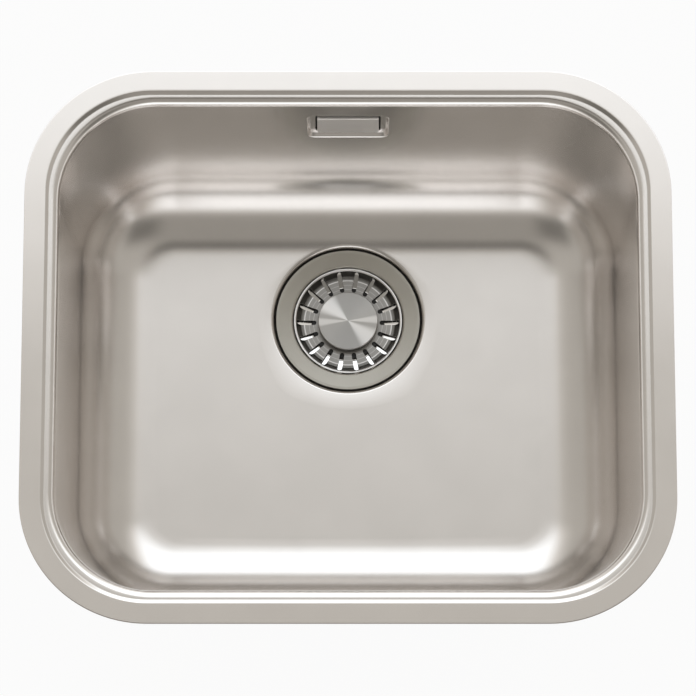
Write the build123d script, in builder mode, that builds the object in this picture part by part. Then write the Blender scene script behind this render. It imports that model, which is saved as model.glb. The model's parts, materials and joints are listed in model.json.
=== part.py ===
from build123d import *
from math import atan2, cos, hypot, radians, sin, tan
import os

# Undermount kitchen sink with its overflow, its basket strainer and the waste kit below it.
# Millimetres and degrees. The origin is the centre of the flange's flat top, which a worktop rests on.
# +X runs to the right along the longer side, +Y to the rear wall with the overflow, and +Z up.

# ---------------------------------------------------------------- driving dimensions: the bowl

flange_length = 478.0  # along X
flange_width = 418.0  # along Y
flange_corner = 94.0
sheet = 1.0  # stainless sheet of the bowl
flange_edge_round = 0.3  # round the flange's top edges, outside and at the step

flat_rim = 15.5  # flat top between the outer edge and the pressed step
step_drop = 1.5
step_run = 2.4
step_shelf = 1.6  # flat between the step's foot and the rolled rim
roll_radius = 6.3  # rolled rim, from the shelf into the walls

bowl_depth = 172.0  # flange top to floor
bowl_corner = 72.0
side_draft = 4.8  # left and right walls
end_draft = 7.5  # front and rear walls
cove_radius = 53.0

# ---------------------------------------------------------------- driving dimensions: the strainer

drain_inset = 51.05  # drain axis in front of the rear cove's foot

cup_radius = 42.5  # inside the cup's mouth
cup_sheet = 0.9
cup_flange_width = 13.0
cup_flange_lip = 2.0  # level edge round the dished flange
flange_dish = 2.2
cup_lip_bend = 1.5  # bends of the pressed cup, from its flange's lip to its floor
cup_mouth_bend = 2.0
cup_shoulder_bend = 3.5
cup_seat_bend = 1.0
cup_throat_bend = 2.0
cup_floor_bend = 3.5
flange_seal_thickness = 2.0
flange_seal_width = 5.5
flange_seal_inset = 1.0
recess_depth = 5.5
recess_draft = 20.0
recess_gap = 0.7  # round the cup's flange
recess_round = 2.0
recess_foot_round = 1.2
drain_hole_gap = 1.6  # round the cup's wall

basket_gap = 0.7  # between the basket's rim and the cup's wall
basket_set_down = 0.8  # rim below the cup's mouth
basket_depth = 6.3
basket_sheet = 0.8
basket_lip = 1.4
basket_lip_bend = 1.0
basket_floor_bend = 2.0
basket_floor_radius = 36.6
slot_count = 18
slot_width = 3.5
slot_inner_radius = 24.5
slot_outer_radius = 39.8

knob_radius = 23.0
knob_thickness = 3.4
knob_crown = 0.4  # the face's fall from its middle to its edge
knob_rise = 0.4  # crown's top above the basket's rim
knob_neck_radius = 11.0
knob_edge_round = 0.6
knob_thread_depth = 4.5

stopper_radius = 28.3
stopper_thickness = 2.7
stopper_edge_round = 0.6
turning_gap = 0.3  # basket above the stopper, and pivot screw's head below its ledge
seat_gap = 0.3  # stopper above its seat
seat_margin = 1.2  # seat beyond the stopper's edge
shoulder_rise = 2.4
throat_radius = 24.5
throat_depth = 21.4
throat_hole_count = 6
throat_hole_radius = 5.5
throat_hole_circle = 14.5

stem_radius = 4.5
stem_boss_radius = 6.0
stem_flange_radius = 18.0
stem_flange_thickness = 2.0
stem_end_gap = 0.7  # stem's foot above the centre screw's head
stem_wall = 1.0  # round the pivot screw's head
stem_ring_section = 0.6  # radius of the ring's own section
stem_ring_depth = 2.4  # ring's centre below the top of the bush
slide_clearance = 0.1  # stem in its bush
ring_clearance = 0.03
fit_clearance = 0.05  # screws in their holes, and pieces pressed on others

pivot_shank_radius = 2.0
pivot_head_radius = 3.2
pivot_head_height = 2.8
pivot_foot_depth = 1.0  # head above the stem's foot
pivot_socket_depth = 1.4

bush_radius = 7.0
bush_height = 15.0
bush_floor = 2.0
centre_screw_radius = 3.0
centre_screw_head_radius = 4.3
centre_screw_head_height = 3.4
centre_screw_length = 21.0
hex_socket_size = 2.9  # radius of the socket's corners
hex_socket_depth = 2.0

# ---------------------------------------------------------------- driving dimensions: the waste body

waste_gasket_thickness = 3.0
waste_gasket_width = 6.0
waste_wall = 2.5
waste_pot_gap = 1.1  # between the cup's wall and the pot's
waste_rim_width = 4.5
waste_rim_thickness = 3.0
waste_rim_round = 0.7
waste_pot_depth = 40.0  # rim's top to the pot's floor corner
waste_cone_drop = 9.0
waste_corner_round = 3.0
outlet_radius = 23.9  # 1 1/2 inch male thread
outlet_bore_radius = 20.5
outlet_length = 27.0
boss_radius = 9.0
boss_height = 24.0
boss_roof = 4.1
insert_radius = 5.5
insert_length = 14.0
rib_count = 4
rib_thickness = 3.0
rib_height = 14.0
inlet_drop = 28.0  # side inlet's axis below the bowl's floor

# ---------------------------------------------------------------- driving dimensions: the overflow

overflow_drop = 42.0  # pocket's centre below the flange top
pocket_width = 61.0
pocket_height = 37.0
pocket_corner = 6.0
pocket_depth = 3.5
pocket_draft = 30.0
pocket_round = 0.8
opening_width = 49.0
opening_height = 28.0
opening_corner = 2.5
plate_side_gap = 1.3
plate_top_gap = 3.0
plate_foot_gap = 1.0
plate_sheet = 0.8
plate_skirt = 3.5
plate_set_back = 1.2  # plate's face behind the wall's surface
plate_corner = 2.0
stud_radius = 2.0
stud_spacing = 28.0
stud_overhang = 0.8  # past the nut
overflow_gasket_thickness = 2.0
overflow_gasket_margin = 0.8  # round the opening
head_wall = 2.0
head_depth = 17.5  # front rim to back face
head_corner = 5.0
washer_radius = 5.0
washer_thickness = 1.0
nut_radius = 4.0  # to its corners
nut_thickness = 3.2

pipe_radius = 10.0  # head's down pipe, hose cuffs and waste body's inlet
pipe_bore_radius = 8.0
pipe_shoulder = 12.0  # down pipe's top below the overflow's middle
pipe_end_drop = 84.0  # down pipe's end below the flange top
inlet_reach = 64.0  # inlet's end from the drain axis
hose_seal_thickness = 2.0
hose_root_radius = 9.1
hose_cuff = 20.0
hose_bend_radius = 44.0
rib_pitch = 4.0
groove_start = 0.2  # where a groove's floor starts and ends and the next crest starts, as parts of the pitch
groove_end = 0.5
crest_start = 0.7
union_nut_length = 22.0
union_nut_radius = 13.5
union_nut_clearance = 0.1
grip_count = 12
grip_radius = 1.3

# ---------------------------------------------------------------- driving dimensions: the pad

pad_length = 220.0
pad_thickness = 2.5
pad_corner = 10.0
pad_margin = 6.0  # front edge behind the front cove's foot
pad_drain_gap = 25.0  # rear edge in front of the drain's recess

# ---------------------------------------------------------------- derived sizes: the bowl

tolerance = 0.01  # for finding edges by their place
form_overlap = 1.0  # how far a hollow's form reaches into the bowl
rim_inset = flat_rim + step_run + step_shelf
side_roll_run = roll_radius * tan(radians(90 - side_draft) / 2)
end_roll_run = roll_radius * tan(radians(90 - end_draft) / 2)
wall_half_length = flange_length / 2 - rim_inset - side_roll_run  # at the shelf's level, without the roll
wall_half_width = flange_width / 2 - rim_inset - end_roll_run
step_miter = tan(atan2(step_drop, step_run) / 2)  # how far a sheet's underside leads its top at the step
wall_foot_half_width = wall_half_width - (bowl_depth - step_drop) * tan(radians(end_draft))
floor_half_width = wall_foot_half_width - cove_radius * tan(radians(90 - end_draft) / 2)
drain_y = floor_half_width - drain_inset

# ---------------------------------------------------------------- derived sizes: the strainer
# Heights are measured up from the bowl's floor, so those inside the drain are negative.

flange_top = -recess_depth + flange_seal_thickness + cup_sheet
cup_mouth = flange_top - flange_dish
dish_slope = atan2(flange_dish, cup_flange_width - cup_flange_lip)
dish_edge_radius = cup_radius + cup_flange_width - cup_flange_lip
cup_outer_radius = cup_radius + cup_sheet
cup_flange_radius = cup_radius + cup_flange_width
recess_floor_radius = cup_flange_radius + recess_gap
recess_radius = recess_floor_radius + recess_depth * tan(radians(recess_draft))
flange_underside = flange_top - cup_sheet - fit_clearance
seal_outer = cup_flange_radius - flange_seal_inset
seal_inner = seal_outer - flange_seal_width
seal_inner_top = flange_underside - (dish_edge_radius - seal_inner) * tan(dish_slope)
drain_hole_radius = cup_outer_radius + drain_hole_gap

basket_rim = cup_mouth - basket_set_down
basket_floor = basket_rim - basket_depth
basket_underside = basket_floor - basket_sheet
basket_radius = cup_radius - basket_gap
knob_top = basket_rim + knob_rise
knob_underside = knob_top - knob_crown - knob_thickness

stopper_top = basket_underside - turning_gap
stopper_bottom = stopper_top - stopper_thickness
cup_seat = stopper_bottom - seat_gap
cup_shoulder = cup_seat + shoulder_rise
seat_radius = stopper_radius + seat_margin
cup_floor = cup_seat - throat_depth
cup_underside = cup_floor - cup_sheet

screw_head_base = cup_floor + bush_floor
screw_head_top = screw_head_base + centre_screw_head_height
stem_foot = screw_head_top + stem_end_gap
bush_top = cup_floor + bush_height
bush_bore_radius = stem_radius + slide_clearance
pivot_head_base = stem_foot + pivot_foot_depth
pivot_head_top = pivot_head_base + pivot_head_height
pivot_ledge = pivot_head_top + turning_gap
pivot_bore_radius = pivot_shank_radius + fit_clearance
pivot_recess_radius = stem_radius - stem_wall
stem_ring_height = bush_top - stem_ring_depth
stem_ring_centre = bush_bore_radius - ring_clearance - stem_ring_section
stem_groove_radius = stem_ring_centre - stem_ring_section

# ---------------------------------------------------------------- derived sizes: the waste body

waste_rim_top = -recess_depth - sheet - waste_gasket_thickness
pot_radius = cup_outer_radius + waste_pot_gap
pot_outer_radius = pot_radius + waste_wall
waste_rim_radius = pot_outer_radius + waste_rim_width
pot_floor = waste_rim_top - waste_pot_depth
cone_foot = pot_floor - waste_cone_drop
outlet_end = cone_foot - outlet_length
boss_base = cup_underside - boss_height
insert_top = cup_underside - boss_roof
insert_pocket_radius = insert_radius + fit_clearance
screw_hole_radius = centre_screw_radius + fit_clearance

# ---------------------------------------------------------------- derived sizes: the overflow
# Depths are measured behind the rear wall's surface, square to it.

overflow_y = wall_half_width - (overflow_drop - step_drop) * tan(radians(end_draft))
plate_width = opening_width - 2 * plate_side_gap
plate_height = opening_height - plate_top_gap - plate_foot_gap
plate_shift = (plate_top_gap - plate_foot_gap) / 2
pocket_back = pocket_depth + sheet
head_front = pocket_back + overflow_gasket_thickness
head_back = head_front + head_depth
head_inner_width = opening_width + 2 * overflow_gasket_margin
head_inner_height = opening_height + 2 * overflow_gasket_margin
head_outer_width = head_inner_width + 2 * head_wall
head_outer_height = head_inner_height + 2 * head_wall
washer_back = head_back + washer_thickness
nut_back = washer_back + nut_thickness
stud_hole_radius = stud_radius + fit_clearance
pipe_y = overflow_y + head_front + head_depth / 2
pipe_top_drop = overflow_drop + pipe_shoulder
inlet_z = -inlet_drop - bowl_depth
inlet_foot = pot_radius + waste_wall / 4  # where the inlet's outside starts, within the pot's wall
inlet_bore_foot = pot_radius - pipe_bore_radius
inlet_end_y = drain_y + inlet_reach
hose_top_z = -pipe_end_drop - hose_seal_thickness
hose_end_y = inlet_end_y + hose_seal_thickness

# ---------------------------------------------------------------- derived sizes: the pad

pad_width = floor_half_width - pad_margin + drain_y - recess_radius - pad_drain_gap
pad_y = pad_margin - floor_half_width + pad_width / 2

# ---------------------------------------------------------------- planes and shared forms

drain_axis = Axis((0, drain_y, 0), (0, 0, 1))
drain_profile = Plane(origin=(0, drain_y, -bowl_depth), x_dir=(1, 0, 0), z_dir=(0, -1, 0))


def drain_level(height):
    """Level plane on the drain axis, at a height above the bowl's floor."""
    return Plane(origin=(0, drain_y, height - bowl_depth), x_dir=(1, 0, 0), z_dir=(0, 0, 1))


def wall_level(depth):
    """Plane along the rear wall at the overflow's middle, a depth behind its surface. Its Y runs down."""
    lean = radians(end_draft)
    origin = (0, overflow_y + depth * cos(lean), -overflow_drop - depth * sin(lean))
    return Plane(origin=origin, x_dir=(1, 0, 0), z_dir=(0, cos(lean), -sin(lean)))


def wall_section(z, skin):
    """Outline of the walls at a level, moved outward by skin."""
    fall = -step_drop - z
    half_length = wall_half_length - fall * tan(radians(side_draft)) + skin / cos(radians(side_draft))
    half_width = wall_half_width - fall * tan(radians(end_draft)) + skin / cos(radians(end_draft))
    with BuildSketch(Plane.XY.offset(z)) as section:
        RectangleRounded(2 * half_length, 2 * half_width, bowl_corner + skin)
    return section.sketch


def rim_section(z, inset):
    """Outline at a level, an inset inside the flange's edge."""
    with BuildSketch(Plane.XY.offset(z)) as section:
        RectangleRounded(flange_length - 2 * inset, flange_width - 2 * inset, flange_corner - inset)
    return section.sketch


def pocket_section(depth, skin):
    """Outline of the overflow pocket at a depth, moved outward by skin."""
    spread = skin / cos(radians(pocket_draft)) - depth * tan(radians(pocket_draft))
    with BuildSketch(wall_level(depth)) as section:
        RectangleRounded(pocket_width + 2 * spread, pocket_height + 2 * spread, pocket_corner + skin)
    return section.sketch


def recess_section(height, skin):
    """Outline of the drain recess at a height, moved outward by skin."""
    spread = skin / cos(radians(recess_draft)) + height * tan(radians(recess_draft))
    with BuildSketch(drain_level(height)) as section:
        Circle(recess_radius + spread)
    return section.sketch


def on_recess_mouth(edge, floor):
    """True for an edge where the recess opens into the floor or the rear cove."""
    point = edge @ 0.5
    reach = hypot(point.X, point.Y - drain_y)
    return abs(reach - recess_radius) < 2 * sheet and -tolerance < point.Z - floor < recess_depth


def in_pocket(edge, depth):
    """True for an edge of the overflow pocket that lies at a depth."""
    point = wall_level(depth).to_local_coords(edge @ 0.5)
    within = abs(point.X) < pocket_width / 2 + 2 * sheet and abs(point.Y) < pocket_height / 2 + 2 * sheet
    return within and abs(point.Z) < tolerance


def bowl_form(skin):
    """Solid that fills the bowl, the recess and the pocket, with every surface moved outward by skin."""
    top = -step_drop - skin
    lead = step_miter * skin
    floor = -bowl_depth - skin
    with BuildPart() as form:
        loft([wall_section(top, skin), wall_section(floor, skin)], ruled=True)
        fillet(form.edges().group_by(Axis.Z)[0], cove_radius + skin)
        step = [rim_section(-skin, flat_rim - lead), rim_section(top, flat_rim + step_run - lead)]
        loft(step, ruled=True)
        rim_edges = form.edges().filter_by(lambda edge: abs(edge.center().Z - top) < tolerance)
        fillet(rim_edges.filter_by(lambda edge: edge.is_interior), roll_radius - skin)
        loft([recess_section(form_overlap, skin), recess_section(-recess_depth - skin, skin)], ruled=True)
        foot = form.edges().group_by(Axis.Z)[0]
        fillet(foot, recess_foot_round + skin)
        mouth = form.edges().filter_by(lambda edge: on_recess_mouth(edge, floor))
        fillet(mouth, recess_round + sheet - skin)
        loft([pocket_section(-form_overlap, skin), pocket_section(pocket_depth + skin, skin)], ruled=True)
        back = form.edges().filter_by(lambda edge: in_pocket(edge, pocket_depth + skin))
        fillet(back, pocket_round + skin)
        front = form.edges().filter_by(lambda edge: in_pocket(edge, skin))
        fillet(front, pocket_round + sheet - skin)
    return form.part


# ---------------------------------------------------------------- the bowl and its pad

with BuildPart() as sink_bowl:
    with BuildSketch(Plane.XY.offset(-sheet)):
        RectangleRounded(flange_length, flange_width, flange_corner)
    extrude(amount=sheet)
    add(bowl_form(sheet))
    add(bowl_form(0), mode=Mode.SUBTRACT)
    with BuildSketch(drain_level(-recess_depth - sheet)):
        Circle(drain_hole_radius)
    extrude(amount=2 * sheet, mode=Mode.SUBTRACT)
    with BuildSketch(wall_level(pocket_depth - sheet)):
        RectangleRounded(opening_width, opening_height, opening_corner)
    extrude(amount=3 * sheet, mode=Mode.SUBTRACT)
    fillet(sink_bowl.edges().group_by(Axis.Z)[-1], flange_edge_round)
sink_bowl.part.label = "sink_bowl"

with BuildPart() as floor_damping_pad:
    with BuildSketch(Plane.XY.offset(-bowl_depth - sheet - pad_thickness)):
        with Locations((0, pad_y)):
            RectangleRounded(pad_length, pad_width, pad_corner)
    extrude(amount=pad_thickness)
floor_damping_pad.part.label = "floor_damping_pad"

# ---------------------------------------------------------------- the overflow

with BuildPart() as overflow_plate:
    with BuildSketch(wall_level(plate_set_back)):
        with Locations((0, plate_shift)):
            RectangleRounded(plate_width, plate_height, plate_corner)
    extrude(amount=plate_sheet + plate_skirt)
    fillet(overflow_plate.faces().sort_by(Axis.Y)[0].edges(), plate_sheet)
    with BuildSketch(wall_level(plate_set_back + plate_sheet)):
        with Locations((0, plate_shift)):
            hollow_width = plate_width - 2 * plate_sheet
            hollow_height = plate_height - 2 * plate_sheet
            RectangleRounded(hollow_width, hollow_height, plate_corner - plate_sheet)
    extrude(amount=plate_skirt, mode=Mode.SUBTRACT)
    with BuildSketch(wall_level(plate_set_back + plate_sheet)):
        with GridLocations(stud_spacing, 0, 2, 1):
            Circle(stud_radius)
    extrude(amount=nut_back + stud_overhang - plate_set_back - plate_sheet)
overflow_plate.part.label = "overflow_plate"

with BuildPart() as overflow_gasket:
    with BuildSketch(wall_level(pocket_back)):
        RectangleRounded(head_outer_width, head_outer_height, head_corner)
        RectangleRounded(head_inner_width, head_inner_height, head_corner - head_wall, mode=Mode.SUBTRACT)
    extrude(amount=overflow_gasket_thickness)
overflow_gasket.part.label = "overflow_gasket"

with BuildPart() as overflow_head:
    with BuildSketch(wall_level(head_front)):
        RectangleRounded(head_outer_width, head_outer_height, head_corner)
    extrude(amount=head_depth)
    fillet(overflow_head.faces().sort_by(Axis.Y)[-1].edges(), head_wall)
    with BuildSketch(Plane.XY.offset(-pipe_end_drop)):
        with Locations((0, pipe_y)):
            Circle(pipe_radius)
    extrude(amount=pipe_end_drop - pipe_top_drop)
    with BuildSketch(wall_level(head_front)):
        RectangleRounded(head_inner_width, head_inner_height, head_corner - head_wall)
    extrude(amount=head_depth - head_wall, mode=Mode.SUBTRACT)
    with BuildSketch(Plane.XY.offset(-pipe_end_drop)):
        with Locations((0, pipe_y)):
            Circle(pipe_bore_radius)
    extrude(amount=pipe_end_drop - pipe_top_drop - head_wall, mode=Mode.SUBTRACT)
    with BuildSketch(wall_level(head_back - 2 * head_wall)):
        with GridLocations(stud_spacing, 0, 2, 1):
            Circle(stud_hole_radius)
    extrude(amount=3 * head_wall, mode=Mode.SUBTRACT)
overflow_head.part.label = "overflow_head"

with BuildPart() as overflow_washers:
    with BuildSketch(wall_level(head_back)):
        with GridLocations(stud_spacing, 0, 2, 1):
            Circle(washer_radius)
            Circle(stud_hole_radius, mode=Mode.SUBTRACT)
    extrude(amount=washer_thickness)
overflow_washers.part.label = "overflow_washers"

with BuildPart() as overflow_nuts:
    with BuildSketch(wall_level(washer_back)):
        with GridLocations(stud_spacing, 0, 2, 1):
            RegularPolygon(nut_radius, 6)
            Circle(stud_hole_radius, mode=Mode.SUBTRACT)
    extrude(amount=nut_thickness)
overflow_nuts.part.label = "overflow_nuts"

# The hose hangs behind the rear wall and turns forward under the cove to the waste body's inlet.
with BuildLine() as hose_line:
    hose_top = (0, pipe_y, hose_top_z)
    hose_corner = (0, pipe_y, inlet_z)
    hose_foot = (0, hose_end_y, inlet_z)
    FilletPolyline(hose_top, hose_corner, hose_foot, radius=hose_bend_radius)
hose_route = hose_line.wire()
rib_total = int((hose_route.length - 2 * hose_cuff) / rib_pitch)
ribbed_length = rib_total * rib_pitch
first_rib = (hose_route.length - ribbed_length) / 2


def hose_section(distance, radius):
    """Circle round the hose's line, a distance from its top end."""
    fraction = min(distance / hose_route.length, 1.0)
    with BuildSketch(Plane(origin=hose_route @ fraction, x_dir=(1, 0, 0), z_dir=hose_route % fraction)) as section:
        Circle(radius)
    return section.sketch


# Each rib takes four circles: the two edges of its groove's floor, then the two edges of its crest.
hose_sections = [hose_section(0, pipe_radius), hose_section(first_rib, pipe_radius)]
for rib in range(rib_total):
    start = first_rib + rib * rib_pitch
    hose_sections.append(hose_section(start + groove_start * rib_pitch, hose_root_radius))
    hose_sections.append(hose_section(start + groove_end * rib_pitch, hose_root_radius))
    hose_sections.append(hose_section(start + crest_start * rib_pitch, pipe_radius))
    hose_sections.append(hose_section(start + rib_pitch, pipe_radius))
hose_sections.append(hose_section(hose_route.length, pipe_radius))

with BuildPart() as overflow_hose:
    loft(hose_sections, ruled=True)
    add(hose_section(0, pipe_bore_radius))
    sweep(path=hose_route, mode=Mode.SUBTRACT)
overflow_hose.part.label = "overflow_hose"

upper_joint = Plane(origin=(0, pipe_y, -pipe_end_drop), x_dir=(1, 0, 0), z_dir=(0, 0, -1))
lower_joint = Plane(origin=(0, hose_end_y, inlet_z), x_dir=(1, 0, 0), z_dir=(0, -1, 0))

with BuildPart() as hose_seals:
    with BuildSketch(upper_joint, lower_joint):
        Circle(pipe_radius)
        Circle(pipe_bore_radius, mode=Mode.SUBTRACT)
    extrude(amount=hose_seal_thickness)
hose_seals.part.label = "hose_seals"

with BuildPart() as hose_nuts:
    nut_start = (hose_seal_thickness - union_nut_length) / 2
    with BuildSketch(upper_joint.offset(nut_start), lower_joint.offset(nut_start)):
        Circle(union_nut_radius)
        Circle(pipe_radius + union_nut_clearance, mode=Mode.SUBTRACT)
        with PolarLocations(union_nut_radius + grip_radius / 2, grip_count):
            Circle(grip_radius, mode=Mode.SUBTRACT)
    extrude(amount=union_nut_length)
hose_nuts.part.label = "hose_nuts"

# ---------------------------------------------------------------- the strainer

with BuildPart() as strainer_cup:
    with BuildSketch(drain_profile):
        with BuildLine():
            FilletPolyline(
                (cup_flange_radius, flange_top),
                (dish_edge_radius, flange_top),
                (cup_radius, cup_mouth),
                (cup_radius, cup_shoulder),
                (seat_radius, cup_seat),
                (throat_radius, cup_seat),
                (throat_radius, cup_floor),
                (screw_hole_radius, cup_floor),
                radius=[
                    cup_lip_bend,
                    cup_mouth_bend,
                    cup_shoulder_bend,
                    cup_seat_bend,
                    cup_throat_bend,
                    cup_floor_bend,
                ],
            )
            offset(amount=cup_sheet, side=Side.LEFT)
        make_face()
    revolve(axis=drain_axis)
    with BuildSketch(drain_level(cup_underside)):
        with PolarLocations(throat_hole_circle, throat_hole_count):
            Circle(throat_hole_radius)
    extrude(amount=2 * cup_sheet, mode=Mode.SUBTRACT)
strainer_cup.part.label = "strainer_cup"

with BuildPart() as strainer_flange_seal:
    with BuildSketch(drain_profile):
        with BuildLine():
            Polyline(
                (seal_inner, -recess_depth),
                (seal_outer, -recess_depth),
                (seal_outer, flange_underside),
                (dish_edge_radius, flange_underside),
                (seal_inner, seal_inner_top),
                close=True,
            )
        make_face()
    revolve(axis=drain_axis)
strainer_flange_seal.part.label = "strainer_flange_seal"

with BuildPart() as basket:
    with BuildSketch(drain_profile):
        with BuildLine():
            FilletPolyline(
                (basket_radius, basket_rim),
                (basket_radius - basket_lip, basket_rim),
                (basket_floor_radius, basket_floor),
                (pivot_bore_radius, basket_floor),
                radius=[basket_lip_bend, basket_floor_bend],
            )
            offset(amount=basket_sheet, side=Side.LEFT)
        make_face()
    revolve(axis=drain_axis)
    with BuildSketch(drain_level(basket_underside - basket_sheet)):
        with PolarLocations((slot_inner_radius + slot_outer_radius) / 2, slot_count):
            SlotOverall(slot_outer_radius - slot_inner_radius, slot_width)
    extrude(amount=basket_depth + 2 * basket_sheet, mode=Mode.SUBTRACT)
basket.part.label = "basket"

with BuildPart() as knob:
    with BuildSketch(drain_profile):
        with BuildLine():
            Polyline(
                (0, basket_floor),
                (knob_neck_radius, basket_floor),
                (knob_neck_radius, knob_underside),
                (knob_radius, knob_underside),
                (knob_radius, knob_top - knob_crown),
                (0, knob_top),
                close=True,
            )
        make_face()
    revolve(axis=drain_axis)
    knob_edges = knob.edges().filter_by(GeomType.CIRCLE).group_by(SortBy.RADIUS)[-1]
    fillet(knob_edges, knob_edge_round)
    with BuildSketch(drain_level(basket_floor)):
        Circle(pivot_bore_radius)
    extrude(amount=knob_thread_depth + fit_clearance, mode=Mode.SUBTRACT)
knob.part.label = "knob"

with BuildPart() as pivot_screw:
    with BuildSketch(drain_level(pivot_head_base)):
        Circle(pivot_head_radius)
    extrude(amount=pivot_head_height)
    with BuildSketch(drain_level(pivot_head_top)):
        Circle(pivot_shank_radius)
    extrude(amount=basket_floor + knob_thread_depth - pivot_head_top)
    with BuildSketch(drain_level(pivot_head_base)):
        RegularPolygon(pivot_shank_radius, 6)
    extrude(amount=pivot_socket_depth, mode=Mode.SUBTRACT)
pivot_screw.part.label = "pivot_screw"

with BuildPart() as stopper_seal:
    with BuildSketch(drain_level(stopper_bottom)):
        Circle(stopper_radius)
        Circle(stem_boss_radius + fit_clearance, mode=Mode.SUBTRACT)
    extrude(amount=stopper_thickness)
    rim_edges = stopper_seal.edges().filter_by(GeomType.CIRCLE).group_by(SortBy.RADIUS)[-1]
    fillet(rim_edges, stopper_edge_round)
stopper_seal.part.label = "stopper_seal"

with BuildPart() as stem:
    with BuildSketch(drain_level(stem_foot)):
        Circle(stem_radius)
    extrude(amount=stopper_bottom - stem_foot)
    with BuildSketch(drain_level(stopper_bottom - stem_flange_thickness)):
        Circle(stem_flange_radius)
    extrude(amount=stem_flange_thickness)
    with BuildSketch(drain_level(stopper_bottom)):
        Circle(stem_boss_radius)
    extrude(amount=stopper_thickness)
    with BuildSketch(drain_level(stem_foot)):
        Circle(pivot_bore_radius)
    extrude(amount=stopper_top - stem_foot, mode=Mode.SUBTRACT)
    with BuildSketch(drain_level(stem_foot)):
        Circle(pivot_recess_radius)
    extrude(amount=pivot_ledge - stem_foot, mode=Mode.SUBTRACT)
    with BuildSketch(drain_level(stem_ring_height - stem_ring_section)):
        Circle(stem_radius + stem_wall)
        Circle(stem_groove_radius, mode=Mode.SUBTRACT)
    extrude(amount=2 * stem_ring_section, mode=Mode.SUBTRACT)
stem.part.label = "stem"

with BuildPart() as stem_ring:
    with BuildSketch(drain_profile):
        with Locations((stem_ring_centre, stem_ring_height)):
            Circle(stem_ring_section)
    revolve(axis=drain_axis)
stem_ring.part.label = "stem_ring"

with BuildPart() as guide_bush:
    with BuildSketch(drain_level(cup_floor)):
        Circle(bush_radius)
    extrude(amount=bush_height)
    with BuildSketch(drain_level(cup_floor)):
        Circle(screw_hole_radius)
    extrude(amount=bush_floor, mode=Mode.SUBTRACT)
    with BuildSketch(drain_level(screw_head_base)):
        Circle(bush_bore_radius)
    extrude(amount=bush_height - bush_floor, mode=Mode.SUBTRACT)
guide_bush.part.label = "guide_bush"

with BuildPart() as centre_screw:
    with BuildSketch(drain_level(screw_head_base)):
        Circle(centre_screw_head_radius)
    extrude(amount=centre_screw_head_height)
    with BuildSketch(drain_level(screw_head_base - centre_screw_length)):
        Circle(centre_screw_radius)
    extrude(amount=centre_screw_length)
    with BuildSketch(drain_level(screw_head_top - hex_socket_depth)):
        RegularPolygon(hex_socket_size, 6)
    extrude(amount=hex_socket_depth, mode=Mode.SUBTRACT)
centre_screw.part.label = "centre_screw"

# ---------------------------------------------------------------- the waste body

with BuildPart() as waste_gasket:
    with BuildSketch(drain_level(waste_rim_top)):
        Circle(waste_rim_radius)
        Circle(waste_rim_radius - waste_gasket_width, mode=Mode.SUBTRACT)
    extrude(amount=waste_gasket_thickness)
waste_gasket.part.label = "waste_gasket"

with BuildPart() as waste_body:
    with BuildSketch(drain_profile):
        with BuildLine():
            inner_line = FilletPolyline(
                (pot_radius, waste_rim_top),
                (pot_radius, pot_floor),
                (outlet_bore_radius, cone_foot),
                (outlet_bore_radius, outlet_end),
                radius=[waste_corner_round, waste_corner_round],
            )
            outer_line = FilletPolyline(
                (waste_rim_radius, waste_rim_top),
                (waste_rim_radius, waste_rim_top - waste_rim_thickness),
                (pot_outer_radius, waste_rim_top - waste_rim_thickness),
                (pot_outer_radius, pot_floor - waste_wall),
                (outlet_radius, cone_foot - waste_wall),
                (outlet_radius, outlet_end),
                radius=[waste_rim_round, waste_rim_round, waste_corner_round, waste_corner_round],
            )
            Line(inner_line @ 0, outer_line @ 0)
            Line(inner_line @ 1, outer_line @ 1)
        make_face()
    revolve(axis=drain_axis)
    with BuildSketch(drain_level(boss_base)):
        Circle(boss_radius)
    extrude(amount=boss_height)
    with BuildSketch(drain_level(boss_base)):
        with PolarLocations((outlet_bore_radius + boss_radius) / 2, rib_count):
            Rectangle(outlet_bore_radius - boss_radius + waste_wall, rib_thickness)
    extrude(amount=rib_height)
    with BuildSketch(Plane(origin=(0, inlet_end_y, inlet_z), x_dir=(1, 0, 0), z_dir=(0, -1, 0))):
        Circle(pipe_radius)
    extrude(amount=inlet_reach - inlet_foot)
    with BuildSketch(Plane(origin=(0, inlet_end_y, inlet_z), x_dir=(1, 0, 0), z_dir=(0, -1, 0))):
        Circle(pipe_bore_radius)
    extrude(amount=inlet_reach - inlet_bore_foot, mode=Mode.SUBTRACT)
    with BuildSketch(drain_level(boss_base)):
        Circle(screw_hole_radius)
    extrude(amount=boss_height, mode=Mode.SUBTRACT)
    with BuildSketch(drain_level(boss_base)):
        Circle(insert_pocket_radius)
    extrude(amount=insert_top - boss_base, mode=Mode.SUBTRACT)
waste_body.part.label = "waste_body"

with BuildPart() as insert_nut:
    with BuildSketch(drain_level(insert_top - insert_length)):
        Circle(insert_radius)
        Circle(screw_hole_radius, mode=Mode.SUBTRACT)
    extrude(amount=insert_length)
insert_nut.part.label = "insert_nut"

# ---------------------------------------------------------------- one file for each piece

pieces = [
    sink_bowl,
    floor_damping_pad,
    overflow_plate,
    overflow_gasket,
    overflow_head,
    overflow_washers,
    overflow_nuts,
    overflow_hose,
    hose_seals,
    hose_nuts,
    strainer_cup,
    strainer_flange_seal,
    basket,
    knob,
    pivot_screw,
    stopper_seal,
    stem,
    stem_ring,
    guide_bush,
    centre_screw,
    waste_gasket,
    waste_body,
    insert_nut,
]
os.makedirs("parts", exist_ok=True)
for piece in pieces:
    export_step(piece.part, f"parts/{piece.part.label}.step")
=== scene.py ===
"""Looks of the undermount kitchen sink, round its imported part.

Shapes are in millimetres and degrees until a mesh is made, and a finish's sizes are in metres.
The origin is the middle of the flange's top.
"""

import json
import logging
from dataclasses import dataclass, field
from enum import Enum
from math import cos, pi, radians, sin, tan
from typing import Any

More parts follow.
